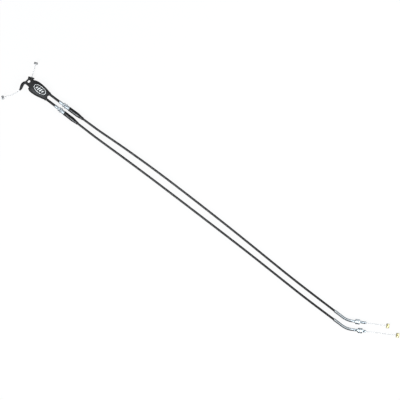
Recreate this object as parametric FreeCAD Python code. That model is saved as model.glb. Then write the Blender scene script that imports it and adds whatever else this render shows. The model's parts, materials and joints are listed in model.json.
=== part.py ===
"""Pair of motorcycle throttle cables with the elbow guide that seats in the twist-grip housing.

The row frame is in millimetres. The origin is the middle of the pull wire's mouth in the guide
collar's outer face. +X runs along the cables towards the carburettor, +Z points up out of the
badge face of the rubber cover, and the pull cable lies on the +Y side of the push cable.
Every centre line lies in the plane z = 0.
"""

import FreeCAD, Part
import math
import os

V = FreeCAD.Vector
UP = V(0, 0, 1)

# ---- layout of the two cables ----
CABLE_PITCH = 13.25
MID_Y = -12.68
PULL_Y = MID_Y + CABLE_PITCH / 2
PUSH_Y = MID_Y - CABLE_PITCH / 2
PULL_HEADING = 111.5

# ---- wires and casings, as radii ----
WIRE_R = 0.75
GUIDE_LINER_R = (1.3, 0.95)
CASING_LINER_R = (1.5, 1.0)
SHORT_CONDUIT_R = (2.4, 1.6)
SHORT_JACKET_R = (2.8, 2.42)
LONG_CONDUIT_R = (2.1, 1.6)
LONG_JACKET_R = (2.5, 2.12)
FIT_GAP = 0.02
SLIDE_GAP = 0.05

# ---- guide ----
COLLAR_R = 7.2
COLLAR_T = 2.7
# the collar's disc sits off the pull wire, towards the horn
COLLAR_SHIFT = 1.0
NECK_R = 4.0
PULL_BEND_R = 8.6
BLOCK_X = (11.0, 25.0)
BLOCK_Y = (-23.9, -2.3)
BLOCK_HALF_Z = 5.6
BLOCK_FILLET = 4.5
SOCKET_X = 15.0
SOCKET_R = 2.95
WEB_HALF_Z = 2.6
SHOULDER_HALF_Z = 4.4
SHOULDER_Y = (-22.4, -4.0)
WINDOW_SIZE = (5.4, 6.4)
WINDOW_CENTRE = (0.4, -11.5)
WINDOW_TILT = -12
HORN_FLATNESS = 0.82
LINER_STANDS_OUT = 1.0

# ---- rubber cover ----
COVER_WALL = 1.7
COVER_LIP_WALL = 1.2
COVER_ROUNDNESS = 2.8
COVER_SPOUT_R = 4.3
COVER_END_X = 53.6
COVER_SPOUT_X = 55.8
# station x, sideways shift of the middle, half width, half height
COVER_SECTIONS = (
    (9.0, -0.6, 12.6, 8.1),
    (12.0, -1.0, 13.7, 8.6),
    (16.0, -1.0, 14.8, 9.0),
    (22.0, -0.8, 15.2, 9.2),
    (28.0, -0.6, 15.1, 9.2),
    (34.0, -0.4, 14.4, 9.0),
    (40.0, -0.1, 13.4, 8.3),
    (46.0, 0.0, 12.2, 7.2),
    (51.0, 0.1, 10.9, 6.2),
    (COVER_END_X, 0.1, 9.9, 5.4),
)

# ---- adjusters: stations along the pull cable ----
GUIDE_FERRULE_X = (SOCKET_X + 0.05, 27.0)
SCREW_X = 82.5
SCREW_SOCKET_R = 3.25
SCREW_SOCKET_END = 89.0
SCREW_NECK_X = (91.4, 93.2)
SCREW_HEAD_AF = 8.6
SCREW_HEAD_T = 3.6
SCREW_END = 116.5
THREAD_R = 3.0
LOCK_NUT_X = 98.9
LOCK_NUT_T = 2.8
NUT_AF = 10.0
BARREL_X = (101.9, 123.6)
BARREL_R = 4.3
BARREL_THREAD_END = 118.5
BARREL_CAVITY = (121.7, 3.6)
SWIVEL_X = (119.65, 131.5)
SWIVEL_FLANGE = (2.0, 3.5)
SWIVEL_R = 3.0
BOOT_X = (110.0, 148.5)
BOOT_R = 5.0
BOOT_TAIL_R = 3.4
BOOT_SHOULDER = 133.0
# the push cable's screw and barrel sit a little nearer the guide
PUSH_SCREW_SHIFT = -2.2
PUSH_BARREL_SHIFT = -3.3

# ---- carburettor end ----
ELBOW_ANGLE = 29.4
ELBOW_BEND_R = 45.0
ELBOW_LEAD = 23.4
ELBOW_LEG = 32.0
ELBOW_R = 3.2
ELBOW_SOCKET_DEPTH = 14.0
ELBOW_BORE_R = 1.6
THREAD_START = 1.5
NUT_T = 5.0
RELIEF_W = 1.0
RELIEF_R = 2.6
# where each nut starts, measured along the leg from the end of the bend
PULL_NUTS = (7.3, 12.5)
PUSH_NUTS = (13.8, 19.0)

# ---- soldered wire ends ----
THROTTLE_NIPPLE = (2.5, 8.0)
CARB_NIPPLE = (3.5, 10.2)
NIPPLE_WAIST = (2.0, 0.3)
PULL_WIRE_OUT = 32.8
PULL_CARB_WIRE_OUT = 49.0
PUSH_CARB_WIRE_OUT = 71.9


class Trail:
    """A flat centre line made of straight and circular stretches that meet without a kink.

    stretches is a list of (length, turn): turn in degrees, positive to the left, 0 for straight.
    """

    def __init__(self, x, y, heading, stretches):
        self.stretches = []
        self.length = 0.0
        for length, turn in stretches:
            self.stretches.append((self.length, length, turn, x, y, heading))
            x, y, heading = self._step(x, y, heading, length, turn, length)
            self.length += length

    @staticmethod
    def _step(x, y, heading, length, turn, s):
        h = math.radians(heading)
        if turn == 0:
            return x + s * math.cos(h), y + s * math.sin(h), heading
        radius = length / math.radians(turn)
        end = h + s / radius
        x += radius * (math.sin(end) - math.sin(h))
        y -= radius * (math.cos(end) - math.cos(h))
        return x, y, math.degrees(end)

    def at(self, s):
        """x, y and heading at distance s along the line."""
        for start, length, turn, x, y, heading in reversed(self.stretches):
            if s >= start - 1e-9:
                return self._step(x, y, heading, length, turn, s - start)
        raise ValueError("s lies before the start")

    def pieces(self, s0, s1):
        """(from, to, turn) of each stretch between s0 and s1."""
        for start, length, turn, *_ in self.stretches:
            a = max(s0, start)
            b = min(s1, start + length)
            if b - a > 1e-6:
                yield a, b, turn * (b - a) / length


def direction(heading):
    h = math.radians(heading)
    return V(math.cos(h), math.sin(h), 0)


def ring(x, y, heading, outer, inner):
    """A flat ring, or a disc if inner is 0, square to the heading."""
    centre = V(x, y, 0)
    rim = Part.Wire(Part.makeCircle(outer, centre, direction(heading)))
    face = Part.Face(rim)
    if inner:
        hole = Part.Face(Part.Wire(Part.makeCircle(inner, centre, direction(heading))))
        face = face.cut(hole).Faces[0]
    return face


def tube(trail, s0, s1, outer, inner=0.0):
    """A tube, or a rod if inner is 0, along the trail from s0 to s1."""
    solids = []
    for a, b, turn in trail.pieces(s0, s1):
        x, y, heading = trail.at(a)
        face = ring(x, y, heading, outer, inner)
        if turn == 0:
            solids.append(face.extrude(direction(heading) * (b - a)))
        else:
            radius = (b - a) / math.radians(turn)
            h = math.radians(heading)
            pivot = V(x - radius * math.sin(h), y + radius * math.cos(h), 0)
            solids.append(face.revolve(pivot, UP, turn))
    return fused(solids)


def fused(solids):
    if len(solids) == 1:
        return solids[0]
    return solids[0].multiFuse(solids[1:]).removeSplitter()


def turned(profile):
    """A solid of revolution about the X axis from (x, r) corners."""
    corners = [V(x, 0, r) for x, r in profile]
    face = Part.Face(Part.makePolygon(corners + corners[:1]))
    return face.revolve(V(0, 0, 0), V(1, 0, 0), 360)


def put(shape, x, y, heading=0.0):
    """The shape, built along +X from the origin, turned to the heading and moved to x, y."""
    placed = shape.copy()
    placed.rotate(V(0, 0, 0), UP, heading)
    placed.translate(V(x, y, 0))
    return placed


def hexagon(across_flats, thickness, bore):
    """A hexagon with chamfered corners and a bore along +X from the origin."""
    corner = across_flats / math.sqrt(3)
    points = [
        V(0, corner * math.cos(math.radians(60 * i)), corner * math.sin(math.radians(60 * i)))
        for i in range(7)
    ]
    prism = Part.Face(Part.makePolygon(points)).extrude(V(thickness, 0, 0))
    flat = across_flats / 2
    chamfer = (corner - flat) * 0.6
    cone = turned(
        (
            (0, 0),
            (0, flat - 0.1),
            (chamfer, corner + 0.05),
            (thickness - chamfer, corner + 0.05),
            (thickness, flat - 0.1),
            (thickness, 0),
        )
    )
    solid = prism.common(cone)
    if bore:
        solid = solid.cut(Part.makeCylinder(bore, thickness + 2, V(-1, 0, 0), V(1, 0, 0)))
    return solid


def nipple(size, x, y, heading):
    """A soldered wire end: a barrel square to its wire, with a waist where the wire enters."""
    radius, length = size
    waist_w, waist_d = NIPPLE_WAIST
    half, edge = length / 2, 0.35
    barrel = turned(
        (
            (-half, 0),
            (-half, radius - edge),
            (edge - half, radius),
            (-waist_w / 2, radius),
            (-waist_w / 2, radius - waist_d),
            (waist_w / 2, radius - waist_d),
            (waist_w / 2, radius),
            (half - edge, radius),
            (half, radius - edge),
            (half, 0),
        )
    )
    barrel.rotate(V(0, 0, 0), UP, 90)
    hole = Part.makeCylinder(WIRE_R + FIT_GAP, radius + 2, V(0, 0, 0), V(-1, 0, 0))
    return put(barrel.cut(hole), x, y, heading)


# ---- centre lines ----


def pull_guide_trail():
    """From the pull socket's floor round the bend and out of the collar along the pull wire."""
    turn = 180 - PULL_HEADING
    tangent = PULL_BEND_R * math.tan(math.radians(turn / 2))
    corner_s = PULL_Y / math.sin(math.radians(PULL_HEADING))
    corner_x = corner_s * math.cos(math.radians(PULL_HEADING))
    lead = SOCKET_X - (corner_x + tangent)
    bend = PULL_BEND_R * math.radians(turn)
    rest = -corner_s - tangent
    return Trail(
        SOCKET_X, PULL_Y, 180, [(lead, 0), (bend, -turn), (rest, 0), (PULL_WIRE_OUT, 0)]
    )


# the push line turns up onto the horn's crest, then hooks down and round to its tip
HORN_STRETCHES = [
    (4.0, 0),
    (4.0, -21),
    (4.0, 21),
    (4.4, 0),
    (9.4, 90),
    (5.0, 17),
    (5.0, 0),
    (6.0, -31),
]
PUSH_WIRE_STRETCHES = [(5.0, -9), (36.5, -14)]


def push_guide_trail():
    """From the push socket's floor through the horn, then along the bare push wire."""
    return Trail(SOCKET_X, PUSH_Y, 180, HORN_STRETCHES + PUSH_WIRE_STRETCHES)


PULL_GUIDE = pull_guide_trail()
PUSH_GUIDE = push_guide_trail()
PULL_EXIT = PULL_GUIDE.length - PULL_WIRE_OUT
HORN_LENGTH = sum(length for length, _ in HORN_STRETCHES)

BEND_LENGTH = ELBOW_BEND_R * math.radians(ELBOW_ANGLE)
ELBOW_STRETCHES = [(ELBOW_LEAD, 0), (BEND_LENGTH, ELBOW_ANGLE), (ELBOW_LEG, 0)]
# from the guide's socket floor to the elbow tube: straight through the cover and as far as it
# slides back, a slight turn, the straight run of the adjuster and of the boot's travel, then the
# long casing's gentle bow
PULL_BOW = [
    (58, 0),
    (6, 1.0),
    (100, 0),
    (30, 2.4),
    (185, -3.4),
    (280, -2.0),
    (128, 2.0),
    (58, 0),
]
PUSH_BOW = [
    (58, 0),
    (6, -0.6),
    (96, 0),
    (40, 2.0),
    (190, -1.4),
    (160, -0.25),
    (110, -0.95),
    (80, 0),
    (60, 1.5),
    (56, 0.4),
]


class Cable:
    """One cable's centre line from the guide's socket floor to its carburettor nipple."""

    def __init__(self, name, y, bow, screw_shift, barrel_shift, nuts, wire_out):
        self.name = name
        self.screw_shift = screw_shift
        self.barrel_shift = barrel_shift
        self.nuts = nuts
        self.trail = Trail(SOCKET_X, y, 0, bow + ELBOW_STRETCHES + [(wire_out, 0)])
        self.elbow_start = sum(length for length, _ in bow)
        self.leg_start = self.elbow_start + ELBOW_LEAD + BEND_LENGTH
        self.tip = self.leg_start + ELBOW_LEG

    def rod(self, x0, x1, outer, inner=0.0):
        """A tube along the line between two stations, counted like X from the row's origin."""
        return tube(self.trail, x0 - SOCKET_X, x1 - SOCKET_X, outer, inner)

    def seat(self, shape, x, shift=0.0):
        """The shape, built about the X axis, with its own station x put on the line."""
        placed = shape.copy()
        placed.translate(V(-x, 0, 0))
        return put(placed, *self.trail.at(x + shift - SOCKET_X))


PULL = Cable("pull", PULL_Y, PULL_BOW, 0.0, 0.0, PULL_NUTS, PULL_CARB_WIRE_OUT)
PUSH = Cable(
    "push", PUSH_Y, PUSH_BOW, PUSH_SCREW_SHIFT, PUSH_BARREL_SHIFT, PUSH_NUTS, PUSH_CARB_WIRE_OUT
)


# ---- guide and cover ----


def horn():
    """The curved arm that carries the push wire round the grip's drum, as a tapering loft."""
    # distance along the push line, half width
    stations = (
        (5.0, 3.4),
        (10.0, 3.1),
        (15.0, 3.1),
        (18.5, 3.3),
        (22.0, 3.4),
        (25.8, 3.4),
        (30.5, 3.6),
        (35.0, 3.2),
        (38.5, 2.6),
        (40.8, 2.2),
        (HORN_LENGTH, 1.9),
    )
    rims = []
    for s, half_width in stations:
        x, y, heading = PUSH_GUIDE.at(s)
        ellipse = Part.Ellipse(V(0, 0, 0), half_width, half_width * HORN_FLATNESS)
        rim = Part.Wire(ellipse.toShape())
        # the ellipse's long axis goes across the heading, its short axis along Z
        rim.rotate(V(0, 0, 0), V(1, 0, 0), 90)
        rim.rotate(V(0, 0, 0), UP, heading - 90)
        rim.translate(V(x, y, 0))
        rims.append(rim)
    return Part.makeLoft(rims, True, False)


def web():
    """The flat plate that ties collar, horn and block together."""
    collar_left = -direction(PULL_HEADING - 90) * (COLLAR_R + COLLAR_SHIFT - 0.8)
    back = direction(PULL_HEADING) * -COLLAR_T * 0.6
    outline = [
        collar_left + back,
        V(-5.0, -9.0, 0),
        V(-5.8, -13.5, 0),
        V(-6.2, -17.5, 0),
        V(-2.0, -19.5, 0),
        V(BLOCK_X[0] + 1, PUSH_Y, 0),
        V(BLOCK_X[0] + 1, PULL_Y + 1.5, 0),
        V(6.0, PULL_Y + 1.5, 0),
        direction(PULL_HEADING - 90) * (COLLAR_R - COLLAR_SHIFT - 1.6) + back,
    ]
    floor = Part.Face(Part.makePolygon(outline + outline[:1]))
    floor.translate(V(0, 0, -WEB_HALF_Z))
    return floor.extrude(V(0, 0, 2 * WEB_HALF_Z))


def shoulder():
    """The thicker wedge that widens from the web to the block."""
    front, back = 3.8, BLOCK_X[0] + 1
    outline = [
        V(front, -20.2, 0),
        V(back - 3, SHOULDER_Y[0], 0),
        V(back, SHOULDER_Y[0], 0),
        V(back, SHOULDER_Y[1], 0),
        V(front + 2.4, SHOULDER_Y[1], 0),
        V(front, -9.0, 0),
    ]
    floor = Part.Face(Part.makePolygon(outline + outline[:1]))
    floor.translate(V(0, 0, -SHOULDER_HALF_Z))
    return floor.extrude(V(0, 0, 2 * SHOULDER_HALF_Z))


def window():
    """The opening through the web between collar, strut and horn."""
    w, h = WINDOW_SIZE
    box = Part.makeBox(w, h, 20, V(-w / 2, -h / 2, -10))
    upright = [e for e in box.Edges if abs(e.tangentAt(e.FirstParameter).z) > 0.99]
    box = box.makeFillet(2.0, upright)
    box.rotate(V(0, 0, 0), UP, WINDOW_TILT)
    box.translate(V(WINDOW_CENTRE[0], WINDOW_CENTRE[1], 0))
    return box


def guide():
    """The moulded guide: collar, curved neck, web, horn and the block with both sockets."""
    collar = turned(
        (
            (-COLLAR_T, 0),
            (-COLLAR_T, COLLAR_R - 0.4),
            (-COLLAR_T + 0.4, COLLAR_R),
            (-0.4, COLLAR_R),
            (0, COLLAR_R - 0.4),
            (0, 0),
        )
    )
    centre = direction(PULL_HEADING - 90) * -COLLAR_SHIFT
    collar = put(collar, centre.x, centre.y, PULL_HEADING)
    neck = tube(PULL_GUIDE, 1.0, PULL_EXIT - 1.0, NECK_R)
    width = BLOCK_X[1] - BLOCK_X[0]
    corner = V(BLOCK_X[0], BLOCK_Y[0], -BLOCK_HALF_Z)
    block = Part.makeBox(width, BLOCK_Y[1] - BLOCK_Y[0], 2 * BLOCK_HALF_Z, corner)
    lengthwise = [e for e in block.Edges if abs(e.tangentAt(e.FirstParameter).x) > 0.99]
    block = block.makeFillet(BLOCK_FILLET, lengthwise)
    body = web().cut(window())
    for solid in (shoulder(), block, neck, horn(), collar):
        body = body.fuse(solid)
    body = body.cut(tube(PULL_GUIDE, -1.0, PULL_EXIT + 2.0, GUIDE_LINER_R[0] + FIT_GAP))
    body = body.cut(tube(PUSH_GUIDE, -1.0, HORN_LENGTH + 2.0, GUIDE_LINER_R[0] + FIT_GAP))
    for y in (PULL_Y, PUSH_Y):
        socket = Part.makeCylinder(SOCKET_R, 20, V(SOCKET_X, y, 0), V(1, 0, 0))
        body = body.cut(socket)
    return body.removeSplitter()


def cover_rim(x, shift, half_width, half_height):
    """A closed smooth section of the cover, a squared-off oval, square to X."""
    count = 24
    points = []
    for i in range(count):
        a = 2 * math.pi * i / count
        c, s = math.cos(a), math.sin(a)
        power = 2 / COVER_ROUNDNESS
        y = math.copysign(abs(c) ** power, c) * half_width
        z = math.copysign(abs(s) ** power, s) * half_height
        points.append(V(x, MID_Y + shift + y, z))
    curve = Part.BSplineCurve()
    curve.interpolate(points, PeriodicFlag=True)
    return Part.Wire(curve.toShape())


def cover():
    """The rubber cover: a hollow pillow, open towards the guide, with a spout round each casing."""
    outer = Part.makeLoft([cover_rim(*s) for s in COVER_SECTIONS], True, False)
    hollow_end = COVER_END_X - 2.0
    hollow = []
    for x, shift, half_width, half_height in COVER_SECTIONS:
        wall = COVER_LIP_WALL if x == COVER_SECTIONS[0][0] else COVER_WALL
        station = min(x, hollow_end)
        hollow.append(cover_rim(station, shift, half_width - wall, half_height - wall))
    mouth_x, shift, half_width, half_height = COVER_SECTIONS[0]
    start = cover_rim(
        mouth_x - 2, shift, half_width - COVER_LIP_WALL, half_height - COVER_LIP_WALL
    )
    cavity = Part.makeLoft([start] + hollow, True, False)
    body = outer.cut(cavity)
    bore = SHORT_JACKET_R[0] + SLIDE_GAP
    for y in (PULL_Y, PUSH_Y):
        start = V(hollow_end, y, 0)
        spout = Part.makeCylinder(COVER_SPOUT_R, COVER_SPOUT_X - hollow_end, start, V(1, 0, 0))
        body = body.fuse(spout)
    for y in (PULL_Y, PUSH_Y):
        start = V(hollow_end - 5, y, 0)
        body = body.cut(Part.makeCylinder(bore, 20, start, V(1, 0, 0)))
    return body.removeSplitter()


# ---- one cable's parts, built along +X ----


def guide_ferrule():
    """Cup pressed on the casing's end, seated in the guide's socket."""
    x0, x1 = GUIDE_FERRULE_X
    outer = SOCKET_R - SLIDE_GAP
    inner = SHORT_CONDUIT_R[0] + FIT_GAP
    hole = CASING_LINER_R[0] + FIT_GAP
    return turned(((x0, hole), (x0, outer), (x1, outer), (x1, inner), (x0 + 0.8, inner), (x0 + 0.8, hole)))


def adjuster_screw():
    """Hollow screw: socket for the short casing, neck, hexagon head and threaded shank."""
    hole = CASING_LINER_R[0] + FIT_GAP
    socket = SHORT_JACKET_R[0] + FIT_GAP
    neck0, neck1 = SCREW_NECK_X
    body = turned(
        (
            (SCREW_X, socket),
            (SCREW_X, SCREW_SOCKET_R - 0.2),
            (SCREW_X + 0.4, SCREW_SOCKET_R),
            (neck0 - 0.5, SCREW_SOCKET_R),
            (neck0, 2.7),
            (neck1 + 0.2, 2.7),
            (neck1 + 0.2, THREAD_R),
            (SCREW_END - 0.5, THREAD_R),
            (SCREW_END, THREAD_R - 0.5),
            (SCREW_END, hole),
            (SCREW_SOCKET_END, hole),
            (SCREW_SOCKET_END, socket),
        )
    )
    head = put(hexagon(SCREW_HEAD_AF, SCREW_HEAD_T, THREAD_R - 0.2), neck1, 0)
    return body.fuse(head).removeSplitter()


def adjuster_barrel():
    """Internally threaded sleeve; its far lip is rolled in behind the swivel ferrule's flange."""
    x0, x1 = BARREL_X
    bore = THREAD_R + SLIDE_GAP
    cavity_end, cavity_r = BARREL_CAVITY
    lip = SWIVEL_R + SLIDE_GAP
    return turned(
        (
            (x0, bore),
            (x0, BARREL_R - 0.4),
            (x0 + 0.4, BARREL_R),
            (x1 - 0.6, BARREL_R),
            (x1, BARREL_R - 0.6),
            (x1, lip),
            (cavity_end, lip),
            (cavity_end, cavity_r),
            (BARREL_THREAD_END, cavity_r),
            (BARREL_THREAD_END, bore),
        )
    )


def swivel_ferrule():
    """Flanged cup on the long casing's end, free to turn in the barrel."""
    x0, x1 = SWIVEL_X
    flange_t, flange_r = SWIVEL_FLANGE
    inner = LONG_JACKET_R[0] + FIT_GAP
    hole = CASING_LINER_R[0] + FIT_GAP
    return turned(
        (
            (x0, hole),
            (x0, flange_r),
            (x0 + flange_t, flange_r),
            (x0 + flange_t, SWIVEL_R),
            (x1, SWIVEL_R),
            (x1, inner),
            (x0 + 1.0, inner),
            (x0 + 1.0, hole),
        )
    )


def adjuster_boot():
    """Rubber sleeve over the barrel, tapering down to the casing."""
    x0, x1 = BOOT_X
    barrel_bore = BARREL_R + 0.1
    ferrule_bore = SWIVEL_R + 0.1
    casing_bore = LONG_JACKET_R[0] + 0.1
    barrel_end = BARREL_X[1] + 0.6
    ferrule_end = SWIVEL_X[1] + 1.0
    return turned(
        (
            (x0, barrel_bore),
            (x0, BOOT_R - 0.2),
            (x0 + 0.3, BOOT_R),
            (BOOT_SHOULDER, BOOT_R),
            (x1 - 2.0, BOOT_TAIL_R),
            (x1, BOOT_TAIL_R - 0.15),
            (x1, casing_bore),
            (ferrule_end + 1.5, casing_bore),
            (ferrule_end, ferrule_bore),
            (barrel_end + 1.0, ferrule_bore),
            (barrel_end, barrel_bore),
        )
    )


def elbow_tube(cable):
    """Plated tube: casing socket, bend, then a threaded leg with a relief under the outer nut."""
    start = cable.elbow_start
    leg = cable.leg_start
    thread = leg + THREAD_START
    relief = leg + cable.nuts[1] + NUT_T - RELIEF_W - 0.1
    body = tube(cable.trail, start, thread, ELBOW_R)
    body = body.fuse(tube(cable.trail, thread, relief, THREAD_R))
    body = body.fuse(tube(cable.trail, relief, relief + RELIEF_W, RELIEF_R))
    body = body.fuse(tube(cable.trail, relief + RELIEF_W, cable.tip - 0.6, THREAD_R))
    point = turned(((0, 0), (0, THREAD_R), (0.6, THREAD_R - 0.6), (0.6, 0)))
    body = body.fuse(put(point, *cable.trail.at(cable.tip - 0.6)))
    bore = tube(cable.trail, start - 1.0, cable.tip, ELBOW_BORE_R)
    mouth = tube(cable.trail, cable.tip - 1.0, cable.tip + 1.0, ELBOW_BORE_R)
    socket = tube(
        cable.trail, start - 1.0, start + ELBOW_SOCKET_DEPTH, LONG_JACKET_R[0] + FIT_GAP
    )
    return body.cut(bore).cut(mouth).cut(socket).removeSplitter()


def cable_parts(cable):
    """Every node of one cable from the guide's socket to the carburettor nipple."""
    trail, screw, barrel = cable.trail, cable.screw_shift, cable.barrel_shift
    short_start = GUIDE_FERRULE_X[0]
    long_start = SWIVEL_X[0] + barrel
    jacket_end = cable.elbow_start + ELBOW_SOCKET_DEPTH - 0.2 + SOCKET_X
    nut = hexagon(NUT_AF, NUT_T, THREAD_R + SLIDE_GAP)
    lock_nut = hexagon(NUT_AF, LOCK_NUT_T, THREAD_R + SLIDE_GAP)
    parts = {
        "guide_ferrule": cable.seat(guide_ferrule(), SOCKET_X),
        "short_liner": cable.rod(short_start + 0.1, SCREW_END + screw - 0.5, *CASING_LINER_R),
        "short_conduit": cable.rod(
            short_start + 0.9, SCREW_SOCKET_END + screw - 0.1, *SHORT_CONDUIT_R
        ),
        "short_jacket": cable.rod(
            GUIDE_FERRULE_X[1] + 0.1, SCREW_SOCKET_END + screw - 0.5, *SHORT_JACKET_R
        ),
        "adjuster_screw": cable.seat(adjuster_screw(), SCREW_X, screw),
        "lock_nut": cable.seat(lock_nut, 0.0, LOCK_NUT_X + barrel),
        "adjuster_barrel": cable.seat(adjuster_barrel(), BARREL_X[0], barrel),
        "swivel_ferrule": cable.seat(swivel_ferrule(), SWIVEL_X[0], barrel),
        "adjuster_boot": cable.seat(adjuster_boot(), BOOT_X[0], barrel),
        "long_liner": cable.rod(long_start + 0.2, jacket_end, *CASING_LINER_R),
        "long_conduit": cable.rod(long_start + 1.1, jacket_end, *LONG_CONDUIT_R),
        "long_jacket": cable.rod(long_start + 1.1, jacket_end, *LONG_JACKET_R),
        "core_wire": tube(trail, long_start + 0.5 - SOCKET_X, cable.leg_start, WIRE_R),
        "elbow_tube": elbow_tube(cable),
        "inner_nut": put(nut, *trail.at(cable.leg_start + cable.nuts[0])),
        "outer_nut": put(nut, *trail.at(cable.leg_start + cable.nuts[1])),
        "carb_wire": tube(trail, cable.leg_start + 0.5, trail.length, WIRE_R),
        "carb_nipple": nipple(CARB_NIPPLE, *trail.at(trail.length)),
    }
    return {f"{cable.name}_{part}": shape for part, shape in parts.items()}


def throttle_end(cable, guide_trail, exit_s):
    """The liner in the guide, and the wire from the adjuster through the guide to its nipple."""
    hidden = cable.rod(SOCKET_X, SCREW_END + cable.screw_shift + 1.5, WIRE_R)
    wire = fused([hidden, tube(guide_trail, 0, guide_trail.length, WIRE_R)])
    name = cable.name
    return {
        f"{name}_guide_liner": tube(
            guide_trail, 0.05, exit_s + LINER_STANDS_OUT, *GUIDE_LINER_R
        ),
        f"{name}_throttle_wire": wire,
        f"{name}_throttle_nipple": nipple(THROTTLE_NIPPLE, *guide_trail.at(guide_trail.length)),
    }


def build():
    parts = {"cable_guide": guide(), "guide_cover": cover()}
    parts.update(throttle_end(PULL, PULL_GUIDE, PULL_EXIT))
    parts.update(throttle_end(PUSH, PUSH_GUIDE, HORN_LENGTH))
    parts.update(cable_parts(PULL))
    parts.update(cable_parts(PUSH))
    return parts


def main():
    os.makedirs("parts", exist_ok=True)
    for node, shape in build().items():
        solids = shape.Solids
        state = "ok" if shape.isValid() and len(solids) == 1 else "CHECK"
        print(f"{node:24s} {state} solids {len(solids)} volume {shape.Volume:9.1f}")
        solids[0].exportStep(f"parts/{node}.step")


if __name__ == "__main__":
    main()
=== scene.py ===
"""Looks for the throttle cable pair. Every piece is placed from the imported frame.

Sizes are in millimetres unless a comment says metres, and meshes are made in metres.
"""

import json
import math

import bmesh
import bpy
import numpy as np
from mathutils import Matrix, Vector
from mathutils.bvhtree import BVHTree


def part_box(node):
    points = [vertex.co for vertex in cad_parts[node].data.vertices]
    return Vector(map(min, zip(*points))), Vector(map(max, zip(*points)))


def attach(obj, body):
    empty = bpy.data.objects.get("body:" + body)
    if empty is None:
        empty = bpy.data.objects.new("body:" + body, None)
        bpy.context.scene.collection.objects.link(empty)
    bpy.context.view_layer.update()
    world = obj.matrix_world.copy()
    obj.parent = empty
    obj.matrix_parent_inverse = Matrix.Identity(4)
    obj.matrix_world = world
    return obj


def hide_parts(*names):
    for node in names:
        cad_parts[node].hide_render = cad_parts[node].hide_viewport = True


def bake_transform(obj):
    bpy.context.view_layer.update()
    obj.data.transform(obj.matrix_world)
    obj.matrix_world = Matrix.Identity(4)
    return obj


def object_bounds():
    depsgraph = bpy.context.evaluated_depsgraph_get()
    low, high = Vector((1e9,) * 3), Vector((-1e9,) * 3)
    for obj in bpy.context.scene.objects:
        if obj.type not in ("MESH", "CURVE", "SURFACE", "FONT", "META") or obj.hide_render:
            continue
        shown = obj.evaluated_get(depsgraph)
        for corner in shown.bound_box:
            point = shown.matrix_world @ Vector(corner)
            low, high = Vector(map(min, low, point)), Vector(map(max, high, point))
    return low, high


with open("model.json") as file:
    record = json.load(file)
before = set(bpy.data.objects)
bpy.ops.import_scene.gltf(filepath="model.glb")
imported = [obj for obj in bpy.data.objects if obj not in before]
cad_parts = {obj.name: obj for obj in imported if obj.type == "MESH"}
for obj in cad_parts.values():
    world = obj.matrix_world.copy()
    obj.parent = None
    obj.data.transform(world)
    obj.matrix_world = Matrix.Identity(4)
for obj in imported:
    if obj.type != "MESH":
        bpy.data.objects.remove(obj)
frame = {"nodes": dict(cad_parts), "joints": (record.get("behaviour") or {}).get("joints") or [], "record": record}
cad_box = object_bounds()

MM = 0.001
JOINTS = {j["name"]: j for j in frame["joints"]}
MOUNTS = {m["name"]: m for m in frame["record"]["mounts"]}
CABLES = ("pull", "push")

# ---- sizes the looks add, in millimetres ----
THREAD_PITCH = 1.0
THREAD_DEPTH = 0.45
THREAD_R = 3.0
NUT_ACROSS_FLATS = 10.0
NUT_BORE = 3.06
LOCK_NUT_GAP = 0.08
TUBE_NUT_LENGTH = 5.0

WIRE_R = 0.75
STRAND_R = 0.27
STRAND_LAY = 11.0
STRAND_SIDES = 7

SHORT_JACKET_R = 2.8
SHORT_JACKET_BORE = 2.45
LONG_JACKET_R = 2.5
LONG_JACKET_BORE = 2.14
RIB_PITCH = 2.4
RIB_DEPTH = 0.3

SCREW_CUP_R = 3.25
SCREW_SOCKET_R = 2.86
SCREW_SOCKET_DEPTH = 6.5
SCREW_NECK_R = 2.7
SCREW_BORE_R = 1.56
SCREW_NECK_AT = 8.9
SCREW_HEAD_AT = 10.7
SCREW_HEAD_LENGTH = 3.6
HEAD_ACROSS_FLATS = 8.6
HEAD_BORE = 1.8

BARREL_R = 4.3
BARREL_GROOVE_R = 4.12
BARREL_GROOVE_AT = 1.95
BARREL_MOUTH_R = 3.5
BARREL_BORE_R = 3.07
BARREL_END_BORE_R = 3.08
BARREL_CAVITY_R = 3.6
# the cavity for the swivel ferrule's flange, measured back from the barrel's end
BARREL_CAVITY = (5.1, 1.9)

BOOT_MOUTH_R = 4.4
BOOT_TAIL_R = 3.45
BOOT_TAIL_BORE_R = 2.62
BOOT_FERRULE_BORE_R = 3.12
BOOT_STRAIGHT = 23.0

TUBE_R = 3.2
TUBE_LEG_R = TUBE_R - 0.12
TUBE_SOCKET_R = 2.53
TUBE_SOCKET_DEPTH = 13.8
TUBE_BORE_R = 1.6
ELBOW_BEND_R = 45.0

SEAM_WIDTH = 0.0002
SEAM_HEIGHT = 0.0001

BADGE_CENTRE = (32.0, -10.9)
BADGE_SEMI = (15.6, 7.9)
BADGE_RING = 0.9
BAR_HALF = 1.2
BAR_LEAN = 0.45
# place along the badge and half height of each stripe
BADGE_BARS = ((-7.8, 2.5), (-2.6, 3.8), (2.6, 3.8), (7.8, 2.5))


# ---------------------------------------------------------------- materials


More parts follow.
